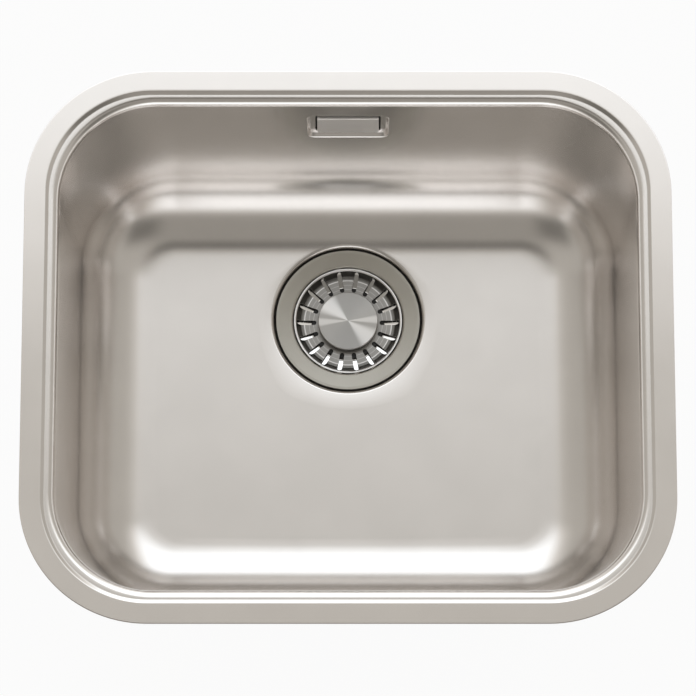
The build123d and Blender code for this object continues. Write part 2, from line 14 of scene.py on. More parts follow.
import bpy
import numpy as np
from mathutils import Matrix, Vector


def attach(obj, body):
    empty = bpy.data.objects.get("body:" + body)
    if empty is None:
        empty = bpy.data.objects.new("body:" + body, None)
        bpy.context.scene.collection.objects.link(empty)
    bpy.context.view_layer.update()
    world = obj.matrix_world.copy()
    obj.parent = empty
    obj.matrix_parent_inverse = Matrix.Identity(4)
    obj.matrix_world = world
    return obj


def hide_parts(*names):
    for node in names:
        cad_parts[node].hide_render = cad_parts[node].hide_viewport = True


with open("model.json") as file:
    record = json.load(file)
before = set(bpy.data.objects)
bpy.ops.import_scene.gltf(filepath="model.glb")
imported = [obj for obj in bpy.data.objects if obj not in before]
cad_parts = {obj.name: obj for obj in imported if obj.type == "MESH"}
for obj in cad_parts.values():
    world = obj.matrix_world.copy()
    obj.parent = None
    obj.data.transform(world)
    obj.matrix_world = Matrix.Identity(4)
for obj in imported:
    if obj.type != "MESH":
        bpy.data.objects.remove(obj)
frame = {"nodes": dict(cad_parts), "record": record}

LOG = logging.getLogger("sink")
MILLIMETRE = 0.001
SHEET_PLACE = "sheet_place"
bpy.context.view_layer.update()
Pair = tuple[float, float]
Triple = tuple[float, float, float]


# ---- shader building


class Signal:
    """A socket that carries a value, on which Python's operators add Math nodes."""

    def __init__(self, graph: "Graph", socket: bpy.types.NodeSocket | None) -> None:
        """Keeps the graph and the output socket, which a closing node doesn't have."""
        self.graph = graph
        self.socket = socket

    def also(self, output: str | int) -> "Signal":
        """Another output of the same node."""
        return Signal(self.graph, self.socket.node.outputs[output])

    def __add__(self, other: "Signal | float") -> "Signal":
        """The sum of both."""
        return self.graph.math("ADD", self, other)

    __radd__ = __add__

    def __sub__(self, other: "Signal | float") -> "Signal":
        """This less the other."""
        return self.graph.math("SUBTRACT", self, other)

    def __rsub__(self, other: "Signal | float") -> "Signal":
        """The other less this."""
        return self.graph.math("SUBTRACT", other, self)

    def __mul__(self, other: "Signal | float") -> "Signal":
        """The product of both."""
        return self.graph.math("MULTIPLY", self, other)

    __rmul__ = __mul__

    def __truediv__(self, other: "Signal | float") -> "Signal":
        """This divided by the other."""
        return self.graph.math("DIVIDE", self, other)

    def size(self) -> "Signal":
        """This without its sign."""
        return self.graph.math("ABSOLUTE", self)

    def at_least(self, low: float) -> "Signal":
        """This, or low where it is lower."""
        return self.graph.math("MAXIMUM", self, low)

    def at_most(self, high: float) -> "Signal":
        """This, or high where it is higher."""
        return self.graph.math("MINIMUM", self, high)

    def ease(self, low: float, high: float) -> "Signal":
        """Rises smoothly from 0 at low to 1 at high."""
        sockets = {"Value": self, "From Min": low, "From Max": high}
        return self.graph.node("ShaderNodeMapRange", {"interpolation_type": "SMOOTHSTEP"}, sockets)


class Graph:
    """The nodes of a material or of the world."""

    def __init__(self, tree: bpy.types.NodeTree) -> None:
        """Clears a node tree and keeps it."""
        self.tree = tree
        tree.nodes.clear()

    def node(
        self,
        kind: str,
        settings: dict[str, Any],
        sockets: dict[str | int, Any],
        output: str | int = 0,
    ) -> Signal:
        """Adds any node.

        Args:
            kind: the node's type.
            settings: its properties, which are set first.
            sockets: a value or a signal for each named or numbered input.
            output: the name or number of the output wanted.

        Returns:
            That output.
        """
        made = self.tree.nodes.new(kind)
        for name, value in settings.items():
            setattr(made, name, value)
        for name, value in sockets.items():
            if isinstance(value, Signal):
                self.tree.links.new(value.socket, made.inputs[name])
            elif isinstance(value, tuple) and made.inputs[name].type == "RGBA":
                made.inputs[name].default_value = (*value, 1.0)
            else:
                made.inputs[name].default_value = value
        return Signal(self, made.outputs[output] if made.outputs else None)

    def math(self, operation: str, *values: Signal | float) -> Signal:
        """Adds one Math node with its inputs in order."""
        return self.node("ShaderNodeMath", {"operation": operation}, dict(enumerate(values)))

    def vector_math(self, operation: str, *values: Signal | Triple, output: str = "Vector") -> Signal:
        """Adds one Vector Math node with its inputs in order."""
        return self.node("ShaderNodeVectorMath", {"operation": operation}, dict(enumerate(values)), output)

    def mixed(self, factor: Signal, low: Signal | Triple, high: Signal | Triple) -> Signal:
        """A colour between two, by a factor."""
        return self.node("ShaderNodeMix", {"data_type": "RGBA"}, {0: factor, 6: low, 7: high}, 2)

    def noise(self, place: Signal, scale: float, detail: float = 2.0, roughness: float = 0.5) -> Signal:
        """Soft noise from 0 to 1 over a place, with a scale in cells per unit of the place."""
        sockets = {"Vector": place, "Scale": scale, "Detail": detail, "Roughness": roughness}
        return self.node("ShaderNodeTexNoise", {"noise_dimensions": "3D"}, sockets)

    def stretched(self, place: Signal, scale: Triple) -> Signal:
        """A place multiplied by a scale along each axis."""
        return self.vector_math("MULTIPLY", place, scale)

    def parts(self, place: Signal) -> tuple[Signal, Signal, Signal]:
        """The three parts of a place or direction."""
        first = self.node("ShaderNodeSeparateXYZ", {}, {0: place})
        return first, first.also(1), first.also(2)

    def object_place(self) -> Signal:
        """Where a point is on the object, in metres."""
        return self.node("ShaderNodeTexCoord", {}, {}, "Object")

    def sheet_place(self) -> Signal:
        """How far a point is round and down the sheet, with a third part of 1 on the sheet's outer side."""
        return self.node("ShaderNodeAttribute", {"attribute_name": SHEET_PLACE}, {}, "Vector")

    def close(self, height: Signal, sockets: dict[str | int, Any]) -> None:
        """Ends a material with a Principled shader.

        Args:
            height: the surface's height in metres, for the bump.
            sockets: a value or a signal for each of the shader's other inputs.
        """
        bump = self.node("ShaderNodeBump", {}, {"Height": height, "Distance": 1.0, "Strength": 1.0})
        shader = self.node("ShaderNodeBsdfPrincipled", {}, {**sockets, "Normal": bump})
        self.node("ShaderNodeOutputMaterial", {}, {"Surface": shader})


def blank_material(name: str) -> tuple[bpy.types.Material, Graph]:
    """A new material and its empty graph."""
    made = bpy.data.materials.new(name)
    made.use_nodes = True
    return made, Graph(made.node_tree)


@dataclass(frozen=True)
class GrainNoise:
    """A grain's noise: its cells per metre, its stretch along the lines, and its detail and roughness."""

    cells: float
    stretch: Triple
    detail: float
    roughness: float


class Grain(Enum):
    """Which way a metal's fine lines run: round the sheet, round the drain, along X, or no way at all."""

    ALONG_RIM = GrainNoise(2200.0, (0.02, 1.0, 1.0), 4.0, 0.65)
    ROUND_DRAIN = GrainNoise(1800.0, (1.0, 1.0, 1.0), 3.0, 0.7)
    SIDEWAYS = GrainNoise(2600.0, (0.03, 1.0, 1.0), 4.0, 0.65)
    BLASTED = GrainNoise(2400.0, (1.0, 1.0, 1.0), 3.0, 0.6)


@dataclass(frozen=True)
class Metal:
    """A metal finish: satin sheet, turned face, blasted or plated piece."""

    name: str
    colour: Triple
    roughness: float
    grain: Grain
    grain_depth: float = 0.00001
    grain_spread: float = 0.05
    stain: float = 0.06
    anisotropic: float = 0.0
    axis: Pair = (0.0, 0.0)
    cloud_cells: float = 22.0
    line_turn: float = 0.25

    def lines(self, graph: Graph) -> Signal:
        """The fine lines of the finish: noise from 0 to 1, stretched along the lines."""
        place = graph.object_place()
        if self.grain is Grain.ALONG_RIM:
            place = graph.sheet_place()
        elif self.grain is Grain.ROUND_DRAIN:
            place = graph.node("ShaderNodeCombineXYZ", {}, {0: self.from_axis(graph, place)[0]})
        noise = self.grain.value
        return graph.noise(graph.stretched(place, noise.stretch), noise.cells, noise.detail, noise.roughness)

    def from_axis(self, graph: Graph, place: Signal) -> tuple[Signal, Signal]:
        """How far a place is from the finish's axis, and in which direction."""
        centred = graph.vector_math("SUBTRACT", place, (*self.axis, 0.0))
        flat = graph.stretched(centred, (1.0, 1.0, 0.0))
        return graph.vector_math("LENGTH", flat, output="Value"), graph.vector_math("NORMALIZE", flat)

    def tint(self, graph: Graph, place: Signal, cloud: Signal) -> tuple[Signal, Signal | float]:
        """The metal's colour and roughness before its lines, at a place and with soft noise from 0 to 1."""
        darker = tuple(channel * (1 - self.stain) for channel in self.colour)
        return graph.mixed(cloud.ease(0.3, 0.7), darker, self.colour), self.roughness

    def swell(self, graph: Graph, place: Signal) -> Signal | float:
        """Height of the surface's soft waves, of which a plain finish has none."""
        return 0.0

    def material(self) -> bpy.types.Material:
        """Makes the material, with lines, stains and waves in its colour, roughness and normal."""
        made, graph = blank_material(self.name)
        place = graph.object_place()
        lines = self.lines(graph)
        cloud = graph.noise(place, self.cloud_cells, 3.0, 0.55)
        colour, roughness = self.tint(graph, place, cloud)
        roughness = roughness + self.grain_spread * (lines - 0.5) + self.grain_spread * 0.6 * (cloud - 0.5)
        sockets = {
            "Base Color": colour,
            "Roughness": roughness,
            "Metallic": 1.0,
            "Anisotropic": self.anisotropic,
            "Anisotropic Rotation": self.line_turn,
        }
        graph.close(lines * self.grain_depth + self.swell(graph, place), sockets)
        return made


@dataclass(frozen=True)
class PressedSheet(Metal):
    """The bowl's satin sheet: a finer flange and roll, soft draw marks down the walls, a dull outer side."""

    outer_colour: Triple = (0.62, 0.605, 0.585)
    outer_roughness: float = 0.38
    outer_blend: Pair = (0.4, 0.6)
    flange_roughness: float = 0.14
    flange_blend: Pair = (-0.0014, -0.001)
    roll_roughness: float = 0.2
    roll_blend: Pair = (-0.0085, -0.0065)
    mark_top: Pair = (-0.014, -0.006)
    mark_foot: Pair = (-0.15, -0.12)
    mark_stretch: Triple = (1.0, 1.0, 0.12)
    mark_cells: float = 42.0
    mark_height: float = 0.00016

    def tint(self, graph: Graph, place: Signal, cloud: Signal) -> tuple[Signal, Signal | float]:
        """The sheet's colour and roughness by its height and side, with the arguments of any metal's tint."""
        colour, roughness = super().tint(graph, place, cloud)
        height = graph.parts(place)[2]
        above = height.ease(*self.flange_blend)
        roll = height.ease(*self.roll_blend) * (1 - above)
        roughness = roughness + above * (self.flange_roughness - self.roughness)
        roughness = roughness + roll * (self.roll_roughness - self.roughness)
        outer = graph.parts(graph.sheet_place())[2].ease(*self.outer_blend)
        colour = graph.mixed(outer, colour, self.outer_colour)
        return colour, roughness + outer * (self.outer_roughness - roughness)

    def swell(self, graph: Graph, place: Signal) -> Signal:
        """Height of the soft draw marks, which fade out at the roll and the floor."""
        height = graph.parts(place)[2]
        wall = height.ease(*self.mark_foot) * (1 - height.ease(*self.mark_top))
        marks = graph.noise(graph.stretched(place, self.mark_stretch), self.mark_cells)
        return marks * wall * self.mark_height


@dataclass(frozen=True)
class PaintedHighlight:
    """A painted highlight, a pair of light wedges, in degrees, or a light circle, in metres: its place, half
    width and share.
    """

    place: float
    half_width: float
    share: float


@dataclass(frozen=True)
class TurnedMetal(Metal):
    """A round piece's finish: its inside takes another roughness and a painted colour, painted light on the
    strainer and painted shade on the basket, and painted highlights lie on it as light wedges and circles.
    """

    # the inside's colour is painted: painted light on the strainer, painted shade on the basket
    inside: Triple = (0.6, 0.6, 0.6)
    inside_roughness: float = 0.3
    inside_radius: float = 0.0
    inside_blur: float = 0.0004
    # colour of the painted highlights
    highlight_paint: Triple = (0.95, 0.94, 0.93)
    highlight_fans: tuple[PaintedHighlight, ...] = ()
    highlight_rings: tuple[PaintedHighlight, ...] = ()

    def tint(self, graph: Graph, place: Signal, cloud: Signal) -> tuple[Signal, Signal | float]:
        """The piece's colour and roughness round its axis, with painted highlights and the inside's painted
        colour, with the arguments of any metal's tint.
        """
        colour, roughness = super().tint(graph, place, cloud)
        distance, direction = self.from_axis(graph, place)
        # painted highlights: light wedges of colour across the face, standing for a turned face's reflections
        for highlight_fan in self.highlight_fans:
            along = (cos(radians(highlight_fan.place)), sin(radians(highlight_fan.place)), 0.0)
            facing = graph.vector_math("DOT_PRODUCT", direction, along, output="Value").size()
            near = facing.ease(cos(radians(highlight_fan.half_width)), 1.0)
            colour = graph.mixed(near * highlight_fan.share, colour, self.highlight_paint)
        # painted inside colour: painted light on the strainer, painted shade on the basket
        if self.inside_radius:
            outer = distance.ease(self.inside_radius - self.inside_blur, self.inside_radius + self.inside_blur)
            colour = graph.mixed(outer, self.inside, colour)
            roughness = self.inside_roughness + outer * (self.roughness - self.inside_roughness)
        # painted highlights: light circles of colour round the axis
        for highlight_ring in self.highlight_rings:
            near = 1 - (distance - highlight_ring.place).size().ease(highlight_ring.half_width * 0.5, highlight_ring.half_width)
            colour = graph.mixed(near * highlight_ring.share, colour, self.highlight_paint)
        return colour, roughness


@dataclass(frozen=True)
class Moulded:
    """A moulded finish: plastic or rubber with a fine skin."""

    name: str
    colour: Triple
    roughness: float
    skin_size: float = 0.0006
    skin_depth: float = 0.00002
    bloom: float = 0.15
    cloud_cells: float = 35.0

    def material(self) -> bpy.types.Material:
        """Makes the material, with a stippled skin and a soft dusty bloom."""
        made, graph = blank_material(self.name)
        place = graph.object_place()
        skin = graph.noise(place, 1 / self.skin_size, 2.0, 0.6)
        cloud = graph.noise(place, self.cloud_cells, 4.0, 0.6)
        paler = tuple(channel + (1 - channel) * self.bloom * 0.25 for channel in self.colour)
        colour = graph.mixed(cloud.ease(0.35, 0.75), self.colour, paler)
        roughness = self.roughness + 0.12 * (cloud - 0.5) + 0.1 * (skin - 0.5)
        graph.close(skin * self.skin_depth, {"Base Color": colour, "Roughness": roughness})
        return made


# ---- mesh building


class MeshDraft:
    """Points, faces and places along the sheet of one piece, in millimetres, while it is built."""

    def __init__(self) -> None:
        """Starts empty."""
        self.rows: list[np.ndarray] = []
        self.lengths: list[np.ndarray] = []
        self.faces: list[tuple[int, ...]] = []
        self.count = 0

    def row(self, points: np.ndarray, lengths: np.ndarray | None = None, outside: bool = False) -> np.ndarray:
        """Adds a row of points.

        Args:
            points: their places, one line each.
            lengths: how far each is along and across the sheet, or None where its place in plan serves.
            outside: whether the row lies on the sheet's outer side.

        Returns:
            Their numbers.
        """
        self.rows.append(points)
        flat = points[:, :2] if lengths is None else lengths[:, :2]
        mark = np.full(len(points), outside / MILLIMETRE)
        self.lengths.append(np.column_stack([flat, mark]))
        start = self.count
        self.count += len(points)
        return np.arange(start, self.count)

    def bridge(self, first: np.ndarray, second: np.ndarray, skip: range = range(0)) -> None:
        """Adds a closed strip of four-sided faces between two rows' numbers, but for the cells to skip."""
        for cell in range(len(first)):
            if cell not in skip:
                after = (cell + 1) % len(first)
                self.faces.append((first[cell], first[after], second[after], second[cell]))

    def extend(self, before: np.ndarray, points: np.ndarray, lengths: np.ndarray | None = None) -> np.ndarray:
        """Adds a row of points, with a strip of faces to it from the row before, and returns its numbers."""
        row = self.row(points, lengths)
        self.bridge(before, row)
        return row

    def loft(self, rows: list[np.ndarray]) -> None:
        """Adds a strip of faces between each row and the next."""
        for first, second in zip(rows, rows[1:]):
            self.bridge(first, second)

    def cap(self, row: np.ndarray) -> None:
        """Adds one face over a closed row."""
        self.faces.append(tuple(row))

    def points(self) -> np.ndarray:
        """All points so far."""
        return np.concatenate(self.rows)

    def normals(self) -> np.ndarray:
        """A normal for each point: the mean of its faces' normals, by their area."""
        points = self.points()
        total = np.zeros_like(points)
        quads = np.array([face for face in self.faces if len(face) == 4])
        corners = points[quads]
        across = np.cross(corners[:, 2] - corners[:, 0], corners[:, 3] - corners[:, 1])
        for corner in range(4):
            np.add.at(total, quads[:, corner], across)
        return total / np.maximum(np.linalg.norm(total, axis=1, keepdims=True), 1e-9)

    def to_object(self, name: str, material: bpy.types.Material, sharp: float = 40.0) -> bpy.types.Object:
        """Makes the Blender object, in metres. An edge over the sharp angle, in degrees, shows sharp."""
        mesh = bpy.data.meshes.new(name)
        faces = [tuple(int(number) for number in face) for face in self.faces]
        mesh.from_pydata((self.points() * MILLIMETRE).tolist(), [], faces)
        lengths = np.concatenate(self.lengths) * MILLIMETRE
        place = mesh.attributes.new(SHEET_PLACE, "FLOAT_VECTOR", "POINT")
        place.data.foreach_set("vector", lengths.astype(np.float32).ravel())
        mesh.polygons.foreach_set("use_smooth", [True] * len(mesh.polygons))
        mesh.set_sharp_from_angle(angle=radians(sharp))
        mesh.update()
        mesh.materials.append(material)
        LOG.info("%s: %d faces", name, len(faces))
        made = bpy.data.objects.new(name, mesh)
        bpy.context.scene.collection.objects.link(made)
        return made


def arc(centre: Pair, radius: float, start: float, end: float, cells: int) -> list[Pair]:
    """Points on an arc between two angles in degrees, with both ends, in a number of cells."""
    turns = np.radians(np.linspace(start, end, cells + 1))
    return [(centre[0] + radius * cos(turn), centre[1] + radius * sin(turn)) for turn in turns]


# ---- pieces


@dataclass
class Bowl:
    """The pressed bowl: flange, step, rolled rim, walls, coves, floor, recess and overflow pocket.

    The pocket and its opening each hold half a width, half a height and a corner's radius.
    """

    half_length: float = 239.0
    half_width: float = 209.0
    corner: float = 94.0
    sheet: float = 1.0
    edge_round: float = 0.3
    flat_insets: tuple[float, ...] = (0.3, 0.9, 2.2, 4.5, 7.0, 9.5, 12.0, 13.8)
    flat_rim: float = 15.5
    step_drop: float = 1.5
    step_run: float = 2.4
    step_round: float = 1.2
    step_foot_round: float = 0.6
    shelf: float = 1.6
    roll: float = 6.3
    depth: float = 172.0
    wall_corner: float = 72.0
    side_draft: float = 4.8
    end_draft: float = 7.5
    cove: float = 53.0
    cove_end: float = 76.0
    drain_inset: float = 51.05
    recess_foot: float = 56.2
    recess_depth: float = 5.5
    recess_draft: float = 20.0
    mouth_round: float = 3.0
    foot_round: float = 1.2
    recess_middle: float = 50.5
    drain_hole: float = 45.0
    overflow_drop: float = 42.0
    pocket: Triple = (30.5, 18.5, 6.0)
    pocket_depth: float = 3.5
    pocket_draft: float = 30.0
    pocket_round: float = 1.8
    pocket_foot_round: float = 0.8
    least_corner: float = 0.8
    opening: Triple = (24.5, 14.0, 2.5)
    rim_shares: int = 14
    wall_shares: int = 35
    cove_shares: int = 24
    floor_shares: int = 17
    floor_crowding: float = 1.6
    pocket_reach: float = 25.0
    pocket_arc_cells: int = 4
    corner_cells: int = 28
    long_cells: int = 64
    short_cells: int = 44
    block_cells: int = 18
    draft: MeshDraft = field(default_factory=MeshDraft)

    def rim_inset(self) -> float:
        """How far the roll's start is from the flange's edge."""
        return self.flat_rim + self.step_run + self.shelf

    def wall_half(self, half: float, angle: float) -> float:
        """Half size of the walls at the shelf's level, without the roll."""
        return half - self.rim_inset() - self.roll * tan(radians(90 - angle) / 2)

    def floor_half(self, half: float, angle: float) -> float:
        """Half size of the flat floor."""
        foot = self.wall_half(half, angle) - (self.depth - self.step_drop) * tan(radians(angle))
        return foot - self.cove * tan(radians(90 - angle) / 2)

    def floor_halves(self) -> list[float]:
        """Half length and half width of the flat floor."""
        sizes = ((self.half_length, self.side_draft), (self.half_width, self.end_draft))
        return [self.floor_half(half, angle) for half, angle in sizes]

    def drain_place(self) -> float:
        """The drain axis's Y."""
        return self.floor_half(self.half_width, self.end_draft) - self.drain_inset

    def outline(self, side: Pair, end: Pair, radius: float) -> np.ndarray:
        """Points round the bowl at one station of its section.

        Args:
            side: half length and height of the left and right sides.
            end: half width and height of the front and rear.
            radius: the corners' radius.

        Returns:
            The points, counterclockwise from the right side's rear end.
        """
        across, along = side[0] - radius, end[0] - radius
        rows = []
        for quarter, (sign_x, sign_y) in enumerate(((1, 1), (-1, 1), (-1, -1), (1, -1))):
            turn = quarter * pi / 2 + np.linspace(0, pi / 2, self.corner_cells, endpoint=False)
            x = sign_x * across + radius * np.cos(turn)
            y = sign_y * along + radius * np.sin(turn)
            z = side[1] * np.cos(turn) ** 2 + end[1] * np.sin(turn) ** 2
            rows.append(np.stack([x, y, z], 1))
            if quarter % 2 == 0:
                step = np.linspace(1, -1, self.long_cells, endpoint=False) * sign_y
                x, y, z = step * across, sign_y * end[0], end[1]
            else:
                step = np.linspace(1, -1, self.short_cells, endpoint=False) * -sign_x
                x, y, z = sign_x * side[0], step * along, side[1]
            rows.append(np.stack(np.broadcast_arrays(x, y, z), 1).astype(float))
        return np.concatenate(rows)

    def floor_height(self, points: np.ndarray) -> np.ndarray:
        """Height of the cove's foot above the floor, at places in plan."""
        half = np.array(self.floor_halves())
        radius = self.floor_corner()
        beyond = np.maximum(np.abs(points[:, :2]) - half + radius, 0)
        outside = np.clip(np.linalg.norm(beyond, axis=1) - radius, 0, self.cove)
        return self.cove - np.sqrt(self.cove**2 - outside**2)

    def floor_corner(self) -> float:
        """Radius of the flat floor's corners."""
        mean = radians((self.side_draft + self.end_draft) / 2)
        return self.wall_corner - self.cove * cos(mean)

    def rim_stations(self) -> list[Pair]:
        """Inset and height along the flange, the step and the shelf, from the flange's top edge inward."""
        slope = np.degrees(np.arctan2(self.step_drop, self.step_run))
        head = self.step_round * tan(radians(slope) / 2)
        foot = self.step_foot_round * tan(radians(slope) / 2)
        flat = [(inset, 0.0) for inset in self.flat_insets]
        top = arc((self.flat_rim - head, -self.step_round), self.step_round, 90, 90 - slope, 5)
        low_centre = (self.flat_rim + self.step_run + foot, -self.step_drop + self.step_foot_round)
        low = arc(low_centre, self.step_foot_round, 270 - slope, 270, 4)
        shelf = [(self.rim_inset() - 0.5 * (self.shelf - foot), -self.step_drop)]
        return flat + top + low + shelf

    def rows(self) -> list[np.ndarray]:
        """Rows of points round the whole bowl, from the flange's top edge to the cove's foot."""
        rows = []
        for inset, height in self.rim_stations():
            side, end = self.half_length - inset, self.half_width - inset
            rows.append(self.outline((side, height), (end, height), self.corner - inset))
        ends = [radians(90 - self.side_draft), radians(90 - self.end_draft)]
        halves = [self.half_length - self.rim_inset(), self.half_width - self.rim_inset()]
        for share in np.linspace(0, 1, self.rim_shares + 1):
            places = [
                (half - self.roll * sin(share * turn), -self.step_drop - self.roll * (1 - cos(share * turn)))
                for half, turn in zip(halves, ends)
            ]
            radius = self.wall_corner + self.roll * (sin(ends[0]) - sin(share * ends[0]))
            rows.append(self.outline(places[0], places[1], radius))
        roll_end = places
        middles = self.floor_halves()
        level = self.cove - self.depth
        drafts = [self.side_draft, self.end_draft]
        cove_start = [
            (middle + self.cove * cos(radians(angle)), level - self.cove * sin(radians(angle)))
            for middle, angle in zip(middles, drafts)
        ]
        for share in np.linspace(0, 1, self.wall_shares + 1)[1:]:
            places = [
                (top[0] + share * (low[0] - top[0]), top[1] + share * (low[1] - top[1]))
                for top, low in zip(roll_end, cove_start)
            ]
            rows.append(self.outline(places[0], places[1], self.wall_corner))
        for share in np.linspace(0, 1, self.cove_shares + 1)[1:]:
            turns = [radians(angle + share * (self.cove_end - angle)) for angle in drafts]
            places = [
                (middle + self.cove * cos(turn), level - self.cove * sin(turn))
                for middle, turn in zip(middles, turns)
            ]
            radius = self.floor_corner() + self.cove * (cos(turns[0]) + cos(turns[1])) / 2
            rows.append(self.outline(places[0], places[1], radius))
        return rows

    def lengths(self, rows: list[np.ndarray]) -> list[np.ndarray]:
        """How far each point of each row is round the bowl and down its section, for the grain."""
        step = np.linalg.norm(np.roll(rows[0], -1, 0) - rows[0], axis=1)
        around = np.concatenate([[0.0], np.cumsum(step)[:-1]])
        down = np.zeros(len(rows[0]))
        found = []
        for number, row in enumerate(rows):
            if number:
                down = down + np.linalg.norm(row - rows[number - 1], axis=1)
            found.append(np.stack([around, down], 1))
        return found

    def build_skin(self) -> None:
        """Builds the top skin and, a sheet below it, the underside."""
        draft = self.draft
        rows = self.rows()
        numbers = [draft.row(row, lengths) for row, lengths in zip(rows, self.lengths(rows))]
        first = self.corner_cells + (self.long_cells - self.block_cells) // 2
        block = range(first, first + self.block_cells)
        heights = [row[first, 2] for row in rows]
        top, foot = self.pocket_reach - self.overflow_drop, -self.pocket_reach - self.overflow_drop
        upper = max(number for number, height in enumerate(heights) if height > top)
        lower = min(number for number, height in enumerate(heights) if height < foot)
        for number in range(len(rows) - 1):
            hole = block if upper <= number < lower else range(0)
            draft.bridge(numbers[number], numbers[number + 1], skip=hole)
        opening = self.build_pocket(numbers[upper : lower + 1], block)
        drain = self.build_floor(numbers[-1])
        self.build_underside(numbers[0], opening, drain)

    def build_pocket(self, numbers: list[np.ndarray], block: range) -> np.ndarray:
        """Builds the overflow pocket in the block of cells left out of the rear wall.

        Args:
            numbers: point numbers of the rows that the block spans.
            block: the cells left out.

        Returns:
            Point numbers of the opening's edge.
        """
        first, last = block.start, block.stop
        border = list(numbers[0][first : last + 1])
        border += [row[last] for row in numbers[1:]]
        border += list(numbers[-1][first:last][::-1])
        border += [row[first] for row in numbers[-2:0:-1]]
        cells = (len(block), len(numbers) - 1)
        width, height, corner = self.pocket
        lean = radians(self.pocket_draft)
        head = self.pocket_round * tan((pi / 2 - lean) / 2)
        foot = self.pocket_foot_round * tan((pi / 2 - lean) / 2)
        stations = [(head + 3.0, 0.0), (head + 1.0, 0.0)]
        stations += [
            (head - self.pocket_round * sin(turn), self.pocket_round * (1 - cos(turn)))
            for turn in np.linspace(0, pi / 2 - lean, 6)
        ]
        low = -self.pocket_depth * tan(lean)
        bend = self.pocket_foot_round
        stations += [
            (low - foot + bend * sin(turn), self.pocket_depth - bend * (1 - cos(turn)))
            for turn in np.linspace(pi / 2 - lean, 0, 5)
        ]
        before = np.array(border)
        for grow, depth in stations:
            size = (width + grow, height + grow, max(corner + grow, self.least_corner))
            loop = self.pocket_loop(size, depth, cells)
            before = self.draft.extend(before, loop, loop[:, [0, 2]])
        loop = self.pocket_loop(self.opening, self.pocket_depth, cells)
        return self.draft.extend(before, loop, loop[:, [0, 2]])

    def pocket_loop(self, size: Triple, depth: float, cells: tuple[int, int]) -> np.ndarray:
        """A rounded rectangle along the rear wall, round the overflow's middle.

        Args:
            size: its half width, its half height and its corners' radius.
            depth: how deep it is behind the wall's surface.
            cells: how many cells its long and short sides take.

        Returns:
            Its points, from the top right corner round to the left.
        """
        bend = self.pocket_arc_cells
        width, height, corner = size
        sides = (
            ((0, 1), (-1, 0), cells[0]),
            ((-1, 0), (0, -1), cells[1]),
            ((0, -1), (1, 0), cells[0]),
            ((1, 0), (0, 1), cells[1]),
        )
        flat = []
        for outward, along, count in sides:
            out, run = np.array(outward, float), np.array(along, float)
            centre = out * np.array([width - corner, height - corner])
            reach = abs(run) @ np.array([width - corner, height - corner])
            for cell in range(count):
                if cell < bend:
                    turn, shift = radians(45 * (cell / bend - 1)), -1.0
                elif cell <= count - bend:
                    turn, shift = 0.0, -1 + 2 * (cell - bend) / (count - 2 * bend)
                else:
                    turn, shift = radians(45 * (cell - count + bend) / bend), 1.0
                flat.append(centre + run * reach * shift + corner * (out * cos(turn) + run * sin(turn)))
        flat = np.array(flat)
        lean = radians(self.end_draft)
        half = self.wall_half(self.half_width, self.end_draft)
        y = half - (self.overflow_drop - self.step_drop) * tan(lean)
        up = np.array([0, sin(lean), cos(lean)])
        back = np.array([0, cos(lean), -sin(lean)])
        middle = np.array([0, y, -self.overflow_drop])
        return middle + flat[:, :1] * np.array([1.0, 0, 0]) + flat[:, 1:] * up + depth * back

    def build_floor(self, rim: np.ndarray) -> np.ndarray:
        """Builds the floor from the cove's foot to the drain hole.

        Args:
            rim: point numbers of the cove's foot.

        Returns:
            Point numbers of the drain hole's edge.
        """
        outer = self.draft.points()[rim]
        centre = np.array([0, self.drain_place()])
        spokes = outer[:, :2] - centre
        spokes = spokes / np.linalg.norm(spokes, axis=1, keepdims=True)
        steep = radians(self.recess_draft)
        head = self.mouth_round * tan((pi / 2 - steep) / 2)
        foot = self.foot_round * tan((pi / 2 - steep) / 2)
        mouth_radius = self.recess_foot + self.recess_depth * tan(steep)
        mouth = centre + spokes * (mouth_radius + head)
        before = rim
        for share in (np.linspace(0, 1, self.floor_shares + 1)[1:]) ** self.floor_crowding:
            plan = outer[:, :2] + share * (mouth - outer[:, :2])
            level = (self.floor_height(plan) - self.depth)[:, None]
            before = self.draft.extend(before, np.concatenate([plan, level], 1))
        lift = self.floor_height(mouth)
        sections = [
            (mouth_radius + head - self.mouth_round * sin(turn), -self.mouth_round * (1 - cos(turn)))
            for turn in np.linspace(0, pi / 2 - steep, 8)[1:]
        ]
        bend = self.foot_round
        sections += [
            (self.recess_foot - foot + bend * sin(turn), bend * (1 - cos(turn)) - self.recess_depth)
            for turn in np.linspace(pi / 2 - steep, 0, 5)
        ]
        sections += [(radius, -self.recess_depth) for radius in (self.recess_middle, self.drain_hole)]
        for radius, height in sections:
            keep = 1 + height / self.recess_depth
            plan = centre + spokes * radius
            level = (height - self.depth + lift * keep)[:, None]
            before = self.draft.extend(before, np.concatenate([plan, level], 1))
        return before

